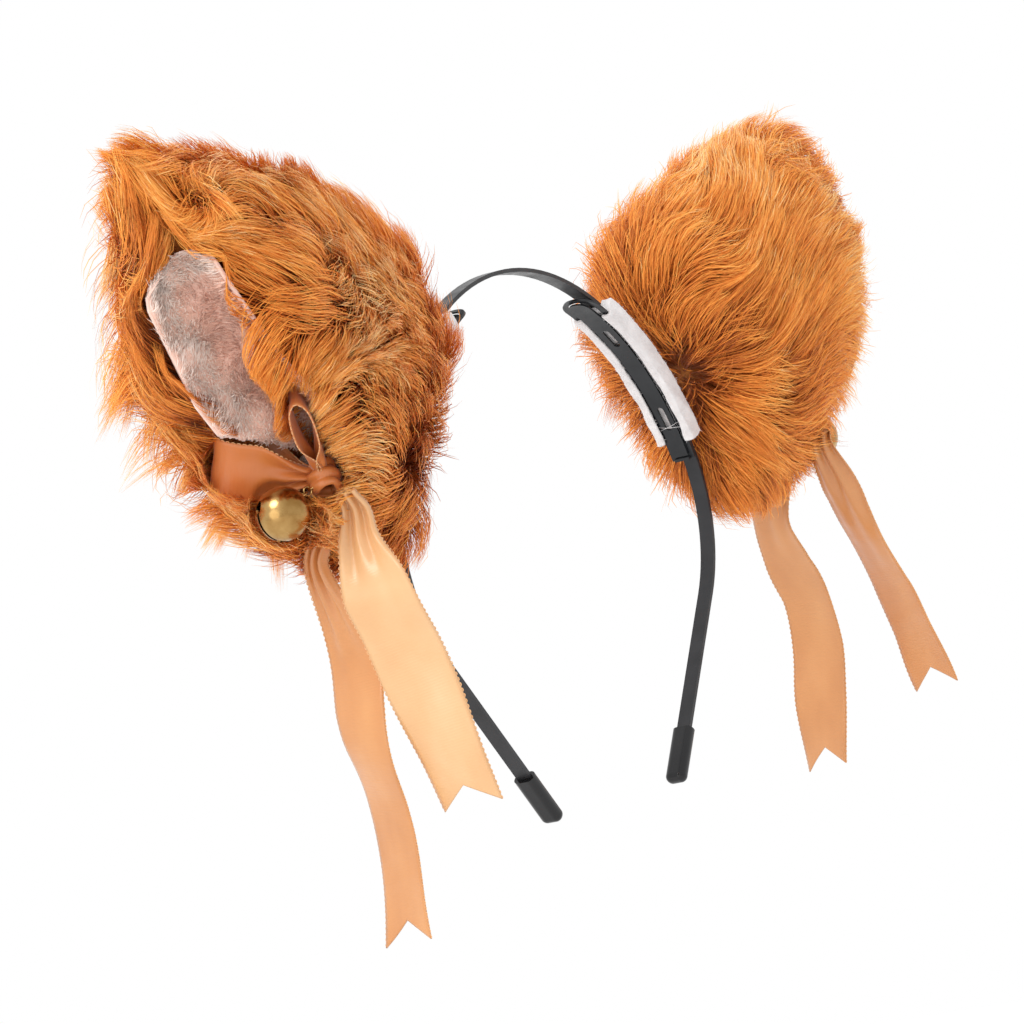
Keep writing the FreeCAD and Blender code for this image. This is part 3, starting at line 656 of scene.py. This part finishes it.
def grow(side, roots, normals, lengths, heights, steps):
    """Hairs that leave the skin, lean over with the flow and settle near the pile's surface."""
    p = to_local(side, roots)
    heading = unit(normals @ ear_axes(side).T * 0.9 + flow(side, p, slope(p, pile_distance)[0]))
    path, faces = [p], []
    for _ in range(steps):
        normal, steep = slope(p, pile_distance)
        rise = np.clip((heights - pile_distance(p) / steep) / 5.0, -0.5, 0.8)[:, None]
        aim = unit(flow(side, p, normal) + normal * rise)
        heading = unit(heading * 0.5 + aim * 0.5)
        p = p + heading * (lengths / steps)[:, None]
        path.append(p)
        faces.append(normal)
    faces.append(faces[-1])
    axes = ear_axes(side)
    return (np.stack([to_world(side, x) for x in path], 1),
            np.stack([x @ axes for x in faces], 1))


GUIDES = 620
HAIRS_A_PIECE = 15500


def make_fur(prefix, side, form):
    """Grow the pile: guide hairs make the locks, and each hair is drawn to its nearest guide."""
    rng = np.random.default_rng(5 + side)
    steps = 6
    pieces = 4
    guides, normals = scatter(form.data, GUIDES, rng)
    place = to_local(side, guides)
    crest = (80, 98), (1, 0.65 if side < 0 else 1.15)
    shorter = np.interp(place[:, 2], *crest)
    tuft = rng.uniform(-3.4, 3.2, len(guides))
    fringe = (place[:, 1] > 7) & (rng.random(len(guides)) < 0.34) & (place[:, 2] < 86)
    tuft = np.where(place[:, 1] > 6, tuft - 6.0, tuft)
    if side > 0:
        tuft = np.maximum(tuft, np.interp(place[:, 2], [86, 96], [-4, 7]))
    lock_paths, _ = grow(side, guides, normals, rng.uniform(16, 25, len(guides)) * shorter, tuft, steps)
    s = np.linspace(0, 1, steps + 1)[None, :, None]
    aim = unit(np.array([0, 0.9, -0.5]) + 0.22 * rng.normal(0, 1, (len(guides), 3)))[:, None]
    spiky = guides[:, None] + rng.uniform(13, 20, (len(guides), 1, 1)) * (aim * s + [0, 0, -0.2] * s ** 2)
    lock_paths = np.where(fringe[:, None, None], spiky, lock_paths)
    if side > 0:
        aim = unit(ear_axes(side)[2] + [-0.1, 0, 0.9] + 0.12 * rng.normal(0, 1, (len(guides), 3)))[:, None]
        crown_tuft = guides[:, None] + rng.uniform(15, 21, (len(guides), 1, 1)) * aim * s
        lock_paths = np.where((place[:, 2] > 86)[:, None, None], crown_tuft, lock_paths)
    lock_tone = rng.normal(0, 0.6, len(guides)) + 0.6 * waves(guides, 51 + side, 30.0)[:, 0]
    away, radius, across, _ = hollow_place(place)
    # Painted shade: locks along the hollow's outer edge are darkened where shade falls into the crease.
    shade_beside_hollow = (across > 0) & (radius > 0)
    lock_tone -= 2.6 * np.where(shade_beside_hollow, np.exp(-((away - radius) / 8.0) ** 2), 0)
    # The right ear's locks are a little darker all over; the front of each ear darkens towards its foot,
    # painted shade low on the ear.
    lock_tone -= ((0.1 if side < 0 else 0.5)
                  + 1.6 * np.clip((34 - place[:, 2]) / 22, 0, 1) * (place[:, 1] < 5))
    grip = (0.76 if side < 0 else 0.56) * rng.uniform(0.7, 1.15, len(guides))
    for number in range(pieces):
        roots, normals = scatter(form.data, HAIRS_A_PIECE, rng)
        local = to_local(side, roots)
        away, radius, across, _ = hollow_place(local)
        crown = np.hypot(local[:, 0], CROWN + local[:, 2])
        near_side = (across < 0) & (local[:, 2] < 56)
        bare = (away < radius + np.where(near_side, 0.2, 2.2)) & (radius > 0)
        bare |= (crown < 74) & (np.abs(local[:, 1]) < 5.2) & (local[:, 0] < 22)
        bare |= (crown < 74) & (np.abs(local[:, 1]) < 2.6)
        for centre, size in keep_outs(side):
            bare |= np.linalg.norm(roots - centre, axis=1) < 0.8 * size
        roots, normals = roots[~bare], normals[~bare]
        count = len(roots)
        lengths = rng.uniform(13, 22, count) * np.interp(local[~bare, 2], *crest)
        heights = rng.uniform(-5.4, 0.4, count) - 5.5 * np.clip((local[~bare, 1] - 3) / 9, 0, 1)
        stray = rng.random(count) < 0.04
        heights = np.where(stray, rng.uniform(1.0, 3.2, count), heights)
        paths, faces = grow(side, roots, normals, lengths, heights, steps)
        jitter = roots + rng.normal(0, 1.6, roots.shape)
        nearest = np.empty(count, int)
        for start in range(0, count, 4000):
            block = jitter[start:start + 4000, None] - guides[None]
            nearest[start:start + 4000] = (block ** 2).sum(-1).argmin(1)
        pull = (grip[nearest] * np.where(stray, 0.25, 1.0) * rng.uniform(0.75, 1.1, count))[:, None]
        pull = np.clip(pull * np.linspace(0, 1, steps + 1) ** 1.15, 0, 0.96)[:, :, None]
        lock = lock_paths[nearest] + rng.normal(0, 0.55, (count, 1, 3))
        paths = paths * (1 - pull) + lock * pull
        wobble = rng.normal(0, 1.0, (count, 1, 3)) * np.sin(
            np.linspace(0, 1, steps + 1)[None, :, None] * rng.uniform(3, 8, (count, 1, 1)))
        paths = paths + wobble * 0.16 * np.linspace(0, 1, steps + 1)[None, :, None]
        paths, crossed = part_pile(side, paths)
        paths, keep = trim(paths, crossed | over_bow(side, paths))
        tone = lock_tone[nearest] * 0.7 + rng.normal(0, 0.42, count) + 0.6 * np.clip((heights + 3) / 3, 0, 1)
        width = rng.uniform(0.14, 0.26, count)
        mesh = strands_mesh(f"{prefix}_fur_{number + 1}", paths[keep], faces[keep], width[keep],
                            tone[keep], (0.5, 1.4, 2.1, 2.8, 3.4, 4.0), FUR, rng)
        new_object(mesh.name, mesh, prefix + "_ear")


# ------------------------------------------------------------------- lining
def lining_points(heights, angles):
    """Points of the lining: round the hollow, and rolled over at its edges."""
    h, a = np.meshgrid(heights, angles, indexing="ij")
    p = np.stack([np.zeros(h.size), np.zeros(h.size), h.ravel()], 1)
    _, radius, across, out = hollow_place(p)
    rel_axis = np.stack([-across, -out], 1)
    edge = np.clip(np.abs(a.ravel()) - 1.5, 0, None)
    r = radius + 2.2 * edge
    turn = np.clip(np.abs(a.ravel()), 0, 1.5) * np.sign(a.ravel())
    section = rel_axis + np.stack([np.sin(turn) * r,
                                   -np.cos(turn) * r * 0.82 + 1.4 * np.sin(edge * 2.4)], 1)
    section += np.stack([np.zeros(len(r)), 0.25 * waves(np.c_[section, p[:, 2]], 71, 16.0)[:, 0]], 1)
    flat = section[:, :1] * ACROSS_FACE + section[:, 1:] * TO_FACE
    return np.c_[flat, p[:, 2]]


def make_lining(prefix, side):
    """The thin cloth of the lining, and the short plush that stands on it."""
    heights = np.linspace(20, 81.0, 73)
    angles = np.linspace(-1.3, 1.95, 61)
    points = to_world(side, lining_points(heights, angles))
    quads = grid_quads(len(heights), len(angles))
    quads = quads[:, ::-1] if side < 0 else quads
    quads = quads[~over_bow(side, points[quads], 0.8).any(1)]
    mesh = quad_mesh(prefix + "_lining_plush", points, quads, [LINING])
    piece = new_object(mesh.name, mesh, prefix + "_ear")
    thicken(piece, 0.0009)
    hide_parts(prefix + "_ear_lining")
    rng = np.random.default_rng(90 + side)
    roots, _ = scatter(mesh, 15000, rng)
    local = to_local(side, roots)
    away, radius, across, out = hollow_place(local)
    inner = np.stack([-across, -out], 1) / np.maximum(away, 0.1)[:, None]
    inward = unit(np.c_[inner[:, :1] * ACROSS_FACE + inner[:, 1:] * TO_FACE, np.zeros(len(local))])
    rim = np.clip((np.abs(np.arctan2(across, -out)) - 1.5) / 0.5, 0, 1)[:, None]
    lie = unit(inward * 0.75 + np.array([0.1, 0.05, 0.7]) + 0.4 * waves(local, 81 + side, 9.0)
               + rng.normal(0, 0.2, local.shape))
    lie = unit(lie - rim * inward * 0.9)
    lengths = rng.uniform(1.6, 2.8, len(local)) * (1 + 0.5 * rim[:, 0])
    s = np.linspace(0, 1, 4)[None, :, None]
    bend = np.array([0.1, 0, 0.35]) + rng.normal(0, 0.2, local.shape)
    paths = local[:, None] + (lie[:, None] * s + bend[:, None] * s ** 2 * 0.4) * lengths[:, None, None]
    world_paths = to_world(side, paths.reshape(-1, 3)).reshape(paths.shape)
    faces = np.repeat((inward @ ear_axes(side))[:, None], 4, 1)
    # Painted light on the plush: lighter along the hollow's rolled rim, at its top and towards its foot,
    # where the lining is brightly lit.
    edge = np.clip((np.arctan2(across, -out) - 0.05) / 0.7, 0, 1)
    top = np.clip((local[:, 2] - 73.5) / 3, 0, 1)
    lit_foot = np.clip((46 - local[:, 2]) / 12, 0, 1) * 0.6
    tone = rng.normal(-0.25, 0.4, len(local)) + 1.7 * np.maximum(np.maximum(edge, top), lit_foot)
    pile = strands_mesh(prefix + "_lining_pile", world_paths, faces, rng.uniform(0.14, 0.26, len(local)),
                        tone, (0.0, 0.6, 1.0), PLUSH, rng)
    new_object(pile.name, pile, prefix + "_ear")


# ------------------------------------------------------------------ ribbons
# Each tail's middle line from the knot, with the width that it is gathered to at each point.
TAILS = {
    "left_front_ribbon_tail": [(-1, -3.6, -3.6, 4), (-3.6, -3.6, -8, 6), (-0.7, -5, -15, 9),
                               (1.9, -8, -24.4, 15), (-1.4, -9, -34.8, 15), (-3.9, -10, -45.5, 15),
                               (-6.3, -11, -57.3, 15), (-9.6, -12, -70.9, 15)],
    "left_rear_ribbon_tail": [(-3, 1, -3.6, 4), (-5, 5, -10, 4), (-4.4, 9, -17, 5), (-6, 8, -27.6, 10),
                              (-7.4, 7, -37.5, 14), (-5, 7, -47.7, 15), (-4.8, 7, -55.9, 15),
                              (-7.8, 7, -67.2, 15), (-8.3, 7, -79.1, 15), (-5.6, 7, -95.6, 15)],
    "right_front_ribbon_tail": [(-1, -3.6, -3.6, 4), (-3.6, -3.6, -8, 6), (0.4, -3.6, -16, 9),
                                (7.2, -3, -27.5, 13), (13.6, -5, -41.8, 15), (14.5, -8, -54, 15),
                                (16.5, -10, -68.3, 15)],
    "right_rear_ribbon_tail": [(-3, 1, -3.6, 4), (-5, 6, -10, 5), (-3.3, 13, -20.8, 11),
                               (0.2, 13, -32.4, 15), (1.8, 11, -41.6, 15), (2.2, 11, -53.3, 15),
                               (-1.4, 11.5, -65.5, 15), (-4.8, 12, -81.1, 15)],
}
TAIL_FACING = np.array([0.52, -0.854, 0])
TWIST = {"left_front_ribbon_tail": (0.0, 0.35, 0.5), "left_rear_ribbon_tail": (0.3, 0.95, 0.85),
         "right_front_ribbon_tail": (0.2, 0.8, 1.1), "right_rear_ribbon_tail": (0.2, 0.7, 0.95)}
RIBBON = 15.0  # the ribbon's flat width


def smooth_line(points, count):
    """Catmull-Rom curve through the points, evenly spaced along its length."""
    p = np.vstack([2 * points[0] - points[1], points, 2 * points[-1] - points[-2]])
    out = []
    for i in range(len(points) - 1):
        a, b, c, d = p[i:i + 4]
        t = np.linspace(0, 1, 24, endpoint=False)[:, None]
        out.append(0.5 * (2 * b + (c - a) * t + (2 * a - 5 * b + 4 * c - d) * t ** 2
                          + (3 * b - a - 3 * c + d) * t ** 3))
    out = np.vstack([*out, points[-1:]])
    length = np.r_[0, np.cumsum(np.linalg.norm(np.diff(out[:, :3], axis=0), axis=1))]
    s = np.linspace(0, length[-1], count)
    return np.stack([np.interp(s, length, out[:, k]) for k in range(out.shape[1])], 1), length[-1]


def ribbon_piece(name, points, rows, columns, uv, side_name, slot_node, hangs=False):
    """Thin ribbon from a grid of points, with its row of picot loops along both edges."""
    # The left front tail takes the lighter copy, a painted highlight; the other tails take the darker one.
    tail_copy_by_light = SATIN_TAIL_LIT if name.startswith("left_front") else SATIN_REAR
    mesh = quad_mesh(name, points.reshape(-1, 3), grid_quads(rows, columns),
                     [tail_copy_by_light if hangs else SATIN_BOW_SHADED], uv=uv)
    piece = new_object(name, mesh, side_name + "_ear")
    thicken(piece, 0.00032)
    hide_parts(slot_node)
    grid = points.reshape(rows, columns, 3)
    picots = make_picots(name + "_picots", [(grid[:, 0], grid[:, 2]), (grid[:, -1], grid[:, -3])],
                         side_name, hangs)


def make_picots(name, edges, side_name, hangs):
    """Rows of tiny thread loops standing off a ribbon's woven edges."""
    points, quads = [], []
    ring, bends = 4, 6
    spacing, reach, height, thread = 1.15, 0.33, 0.26, 0.11
    for edge, inner in edges:
        length = np.r_[0, np.cumsum(np.linalg.norm(np.diff(edge, axis=0), axis=1))]
        stops = np.arange(0.8, length[-1] - (0.3 if hangs else 0.5), spacing)
        at = np.stack([np.interp(stops, length, edge[:, k]) for k in range(3)], 1)
        run = unit(np.stack([np.interp(stops + 0.3, length, edge[:, k]) for k in range(3)], 1) - at)
        out = unit(at - np.stack([np.interp(stops, length, inner[:, k]) for k in range(3)], 1))
        up = unit(np.cross(run, out))
        out = unit(np.cross(up, run))
        sweep = np.linspace(0, math.pi, bends)
        for a, r, o, u in zip(at, run, out, up):
            first = sum(len(x) for x in points)
            centre = (a + np.outer(np.cos(sweep) * reach, r)
                      + np.outer(np.sin(sweep) * height - 0.05, o))
            normal = unit(np.outer(np.cos(sweep), r) + np.outer(np.sin(sweep), o))
            around = np.linspace(0, 2 * math.pi, ring, endpoint=False)
            loop = centre[:, None] + thread * (normal[:, None] * np.cos(around)[None, :, None]
                                               + u[None, None] * np.sin(around)[None, :, None])
            points.append(loop.reshape(-1, 3))
            quads.append(grid_quads(bends, ring, wrap=True) + first)
    mesh = quad_mesh(name, np.vstack(points), np.vstack(quads), [PICOT])
    return new_object(name, mesh, side_name + "_ear")


def make_tail(label, prefix, side):
    """Hanging tail: gathered at the knot, twisted on its way down, and notched at its end."""
    knot = knot_centre(side)
    table = np.array(TAILS[label], float)
    table[:, :3] = knot + table[:, :3] * (side, 1, 1)
    rows, columns = 150, 17
    line, length = smooth_line(table, rows)
    v = np.linspace(-1, 1, columns)
    s = np.linspace(0, 1, rows)[:, None] * np.ones(columns)
    notch = 4.8 * (1 - np.abs(v)) / length
    s = s - notch * np.clip((s - 0.82) / 0.18, 0, 1)
    at = [np.interp(s, np.linspace(0, 1, rows), line[:, k]) for k in range(4)]
    centre, width = np.stack(at[:3], -1), at[3]
    run = unit(np.gradient(line[:, :3], axis=0))
    run = np.stack([np.interp(s, np.linspace(0, 1, rows), run[:, k]) for k in range(3)], -1)
    facing = TAIL_FACING - run * (run @ TAIL_FACING)[..., None]
    facing, normal = unit(facing), unit(np.cross(run, unit(facing)))
    phase = 0.4 + 1.6 * list(TAILS).index(label)
    twist = np.interp(s, [0, 0.3, 1], TWIST[label]) + 0.16 * np.sin(s * 7.5 + phase) * np.clip(s * 4, 0, 1)
    facing, normal = (facing * np.cos(twist)[..., None] + normal * np.sin(twist)[..., None],
                      normal * np.cos(twist)[..., None] - facing * np.sin(twist)[..., None])
    gather = np.clip(1 - width / RIBBON, 0, 1)
    folds = gather * 1.5 * np.cos(v * 7.5 + phase)
    cup = 0.55 * v ** 2 * np.sin(s * 5 + phase) + 0.25 * np.sin(s * 17 + phase * 2) * v
    points = centre + facing * (v * width / 2)[..., None] + normal * (folds + cup)[..., None]
    uv = np.stack([v * RIBBON / 2 * np.ones_like(s), s * length], -1).reshape(-1, 2)
    ribbon_piece(label + "_satin", points, rows, columns, uv, prefix, label,
                 hangs=True)


def make_loop(label, prefix, side, direction, broad, tall, phase):
    """Open bow loop: the ribbon leaves the knot gathered, turns over and comes back."""
    out = unit(np.array(direction) * (side, 1, 1))
    across = np.array(broad) * (side, 1, 1)
    across = unit(across - out * (across @ out))
    rise = np.cross(across, out)
    long = 20.0
    start = knot_centre(side) + out * 2.2
    rows, columns = 84, 17
    tau = np.linspace(0.02, 0.98, rows)[:, None] * np.ones(columns)
    v = np.linspace(-1, 1, columns)
    share = (1 - np.cos(2 * math.pi * tau)) / 2
    x = long * share
    y = tall * np.sin(2 * math.pi * tau) * (0.3 + 0.75 * share)
    opening = np.clip(share / 0.6, 0, 1)
    opening = opening * opening * (3 - 2 * opening)
    half = 1.9 + 4.9 * opening
    fold = (0.95 * (1 - opening) + 0.16) * np.cos(v * (8.0 - 3 * opening) + phase)
    cup = 0.5 * v ** 2 * opening
    normal_y = np.where(tau < 0.5, 1.0, -1.0) * np.clip(np.abs(np.sin(2 * math.pi * tau)) * 2, 0, 1)
    normal_x = np.clip(1 - np.abs(np.sin(2 * math.pi * tau)) * 2, 0, 1) * np.where(share > 0.5, 1, 0)
    bulge = fold + cup
    points = (start + out * (x + normal_x * bulge)[..., None] + rise * (y + normal_y * bulge)[..., None]
              + across * (v * half)[..., None])
    for bell in swing_centres(side):
        rel = points - bell
        far = np.linalg.norm(rel, axis=-1, keepdims=True)
        points += rel * np.maximum(0, BOW_FROM_BELL / np.maximum(far, 1) - 1)
    centre = points[:, columns // 2]
    length = np.linalg.norm(np.diff(centre, axis=0), axis=1).sum()
    uv = np.stack([v * RIBBON / 2 * np.ones_like(tau), tau * length], -1).reshape(-1, 2)
    ribbon_piece(label + "_satin", points, rows, columns, uv, prefix, label)


def make_knot(prefix, side):
    """Ribbon wrapped once round the bow's middle, drawn into folds by the wire."""
    knot = knot_centre(side)
    across = unit(np.array([0.35 * side, -0.25, -0.9]))
    first = unit(np.cross(across, np.array([0, 1.0, 0.2])))
    second = np.cross(across, first)
    rows, columns = 49, 15
    turn = np.linspace(0, 2 * math.pi, rows)[:, None] * np.ones(columns)
    v = np.linspace(-1, 1, columns)
    radius = 2.95 - 0.8 * v ** 2 + 0.38 * np.cos(v * 8 + 0.6 * np.sin(turn * 2)) + 0.2 * np.sin(turn * 3)
    points = (knot + first * (np.cos(turn) * radius)[..., None] + second * (np.sin(turn) * radius)[..., None]
              + across * (v * 3.1 + 0.35 * np.sin(turn * 2 + 1))[..., None])
    uv = np.stack([v * 4 * np.ones_like(turn), turn * 3], -1).reshape(-1, 2)
    mesh = quad_mesh(prefix + "_bow_knot_wrap", points.reshape(-1, 3), grid_quads(rows, columns),
                     [SATIN_BOW_SHADED], uv=uv)
    piece = new_object(mesh.name, mesh, prefix + "_ear")
    thicken(piece, 0.0004, -1)
    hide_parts(prefix + "_bow_knot")


# --------------------------------------------------------------------- felt
def make_felt(prefix, side):
    """Felt sleeve on the clip: soft rounded edges, an uneven face and a little fuzz."""
    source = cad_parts[prefix + "_felt_sleeve"]
    piece = new_object(prefix + "_felt", source.data.copy(), prefix + "_ear")
    piece.data.materials.clear()
    remesh = piece.modifiers.new("remesh", "REMESH")
    remesh.mode = "VOXEL"
    remesh.voxel_size = 0.00032
    soft = piece.modifiers.new("soft", "SMOOTH")
    soft.iterations = 3
    apply_modifiers(piece)
    p = mesh_points(piece.data)
    p += 0.07 * waves(p, 7 + side, 3.0)
    piece.data.vertices.foreach_set("co", (p * MM).astype(np.float32).ravel())
    piece.data.materials.append(FELT)
    shade_smooth(piece.data)
    piece.data.update()
    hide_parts(prefix + "_felt_sleeve")
    rng = np.random.default_rng(140 + side)
    roots, normals = scatter(piece.data, 5000, rng)
    lie = unit(normals + rng.normal(0, 0.9, roots.shape))
    lengths = rng.uniform(0.25, 0.7, (len(roots), 1, 1))
    paths = roots[:, None] + lie[:, None] * np.linspace(0, 1, 3)[None, :, None] * lengths
    faces = np.repeat(normals[:, None], 3, 1)
    fuzz = strands_mesh(prefix + "_felt_fuzz", paths, faces, np.full(len(roots), 0.07),
                        rng.normal(0.5, 0.4, len(roots)), (0, 1), FUZZ, rng)
    new_object(fuzz.name, fuzz, prefix + "_ear")


def make_threads(prefix, side):
    """Two fine threads that tie the clip's tongue side to the felt."""
    rng = np.random.default_rng(170 + side)
    ends = np.array([[(13.6, -2.7), (14.8, 2.6)], [(14.8, -2.6), (13.9, 2.7)]])
    s = np.linspace(0, 1, 7)[:, None]
    line = np.stack([a * (1 - s) + b * s for a, b in ends])
    radius = 63.0 - 0.3 * np.sin(s[:, 0] * math.pi)
    local = np.concatenate([line, (np.sqrt(radius ** 2 - line[..., 0] ** 2) - CROWN)[..., None]], -1)
    paths = to_world(side, local.reshape(-1, 3)).reshape(local.shape)
    faces = np.broadcast_to(-ear_axes(side)[2], paths.shape)
    mesh = strands_mesh(prefix + "_felt_threads", paths, faces, np.full(2, 0.14), np.full(2, 1.0),
                        (0, 0), FUZZ, rng)
    new_object(mesh.name, mesh, prefix + "_ear")


# ------------------------------------------------------------------ assemble
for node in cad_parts.values():
    for holder in node.material_slots:
        for key, material in FINISH.items():
            if holder.material and key in holder.material.name:
                holder.material = material

for prefix, side in SIDES.items():
    make_knot(prefix, side)
    make_loop(prefix + "_bow_outer_loop", prefix, side, OUTER_LOOP, (0.16, -0.41, 0.8), 4.6, 0.7)
    make_loop(prefix + "_bow_inner_loop", prefix, side, INNER_LOOP, (0.854, -0.45, 0.1), 2.3, 2.4)
    make_tail(prefix + "_front_ribbon_tail", prefix, side)
    make_tail(prefix + "_rear_ribbon_tail", prefix, side)
    make_felt(prefix, side)
    make_threads(prefix, side)
    make_lining(prefix, side)
    make_fur(prefix, side, make_form(prefix, side))

FLOOR_HALF = 1.2
FLOOR_HEIGHT = -0.25
floor_mesh = bpy.data.meshes.new("floor")
floor_corners = [(x * FLOOR_HALF, y * FLOOR_HALF, 0) for x, y in ((-1, -1), (1, -1), (1, 1), (-1, 1))]
floor_mesh.from_pydata(floor_corners, [], [(0, 1, 2, 3)])
floor_material, floor_tree, floor_surface = shader("floor", (0.9, 0.9, 0.9), 0.9)
blend_colours(floor_tree, texture(floor_tree, 6, 2), [(0.3, (0.89, 0.89, 0.89)), (0.7, (0.91, 0.91, 0.91))],
              floor_surface.inputs["Base Color"])
floor_mesh.materials.append(floor_material)
floor = bpy.data.objects.new("floor", floor_mesh)
floor.location = (0, 0, FLOOR_HEIGHT)
bpy.context.collection.objects.link(floor)
